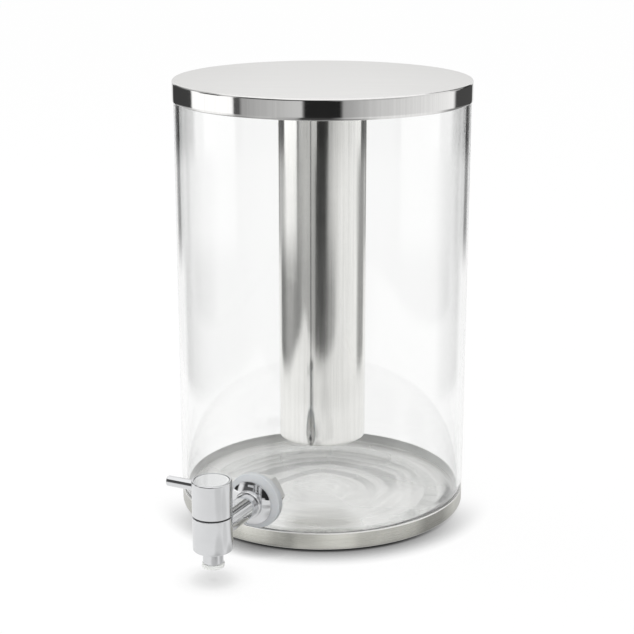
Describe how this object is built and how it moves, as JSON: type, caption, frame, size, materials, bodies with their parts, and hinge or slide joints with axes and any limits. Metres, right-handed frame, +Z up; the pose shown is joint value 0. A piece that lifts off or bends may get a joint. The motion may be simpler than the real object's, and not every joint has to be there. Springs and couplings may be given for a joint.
{
  "type": "glass juice dispenser",
  "caption": "Straight glass drink jar in a shallow steel base, with a flat steel lid that carries an ice tube and a chromed quarter-turn tap near the floor.",
  "frame": {"origin": "on the table under the jar's axis, in the middle of the non-slip pad's underside", "axes": "+Z up along the jar's axis, -Y out along the tap's arm, +X to the right for someone who faces the tap"},
  "size_m": [0.1818, 0.2439, 0.27],
  "materials": {
    "clear_glass": "clear blown glass, smooth, thick wavy floor",
    "satin_base_steel": "satin stainless steel brushed round the rim",
    "lid_steel": "brushed stainless top, mirror-polished skirt",
    "tube_steel": "polished stainless tube with fine brushing",
    "fitting_steel": "plain stainless steel",
    "tap_chrome": "bright chrome plate",
    "milky_silicone": "translucent milky silicone rubber",
    "clear_bond": "clear silicone bond",
    "black_rubber": "matt black rubber",
    "dark_plastic": "dark nylon",
    "milky_plastic": "translucent white plastic",
    "brass": "turned brass"
  },
  "bodies": {
    "jar": {"base_pad": "black_rubber", "base_tray": "satin_base_steel", "bond_ring": "clear_bond", "glass_jar": "clear_glass", "tap_body": "tap_chrome", "tap_arm": "tap_chrome", "arm_collar": "tap_chrome", "arm_seal_ring": "black_rubber", "tap_flange": "tap_chrome", "outer_gasket": "milky_silicone", "inner_gasket": "milky_silicone", "lock_washer": "fitting_steel", "lock_nut": "fitting_steel", "nozzle": "tap_chrome", "outlet_sleeve": "milky_plastic", "plug_retainer": "brass", "bearing_washer": "dark_plastic"},
    "lid": {"lid_shell": "lid_steel", "lid_seal": "milky_silicone", "bayonet_collar": "fitting_steel"},
    "ice_core": {"ice_tube": "tube_steel", "tube_floor": "tube_steel", "tube_rim_band": "fitting_steel", "tube_seal": "milky_silicone"},
    "tap_valve": {"valve_plug": "milky_plastic", "plug_seal_rings": "black_rubber", "tap_knob": "tap_chrome", "knob_cap": "tap_chrome", "knob_screw": "fitting_steel", "tap_lever": "tap_chrome"}
  },
  "joints": [
    {"name": "lid_lift", "type": "slide", "parent": "jar", "child": "lid", "axis": [0, 0, 1], "range_m": [0, 0.26]},
    {"name": "ice_tube_twist", "type": "hinge", "parent": "lid", "child": "ice_core", "pos_m": [0, 0, 0.26], "axis": [0, 0, 1], "range_deg": [0, 60]},
    {"name": "tap_turn", "type": "hinge", "parent": "jar", "child": "tap_valve", "pos_m": [0, -0.1415, 0.0403], "axis": [0, 0, 1], "range_deg": [0, 90]}
  ]
}
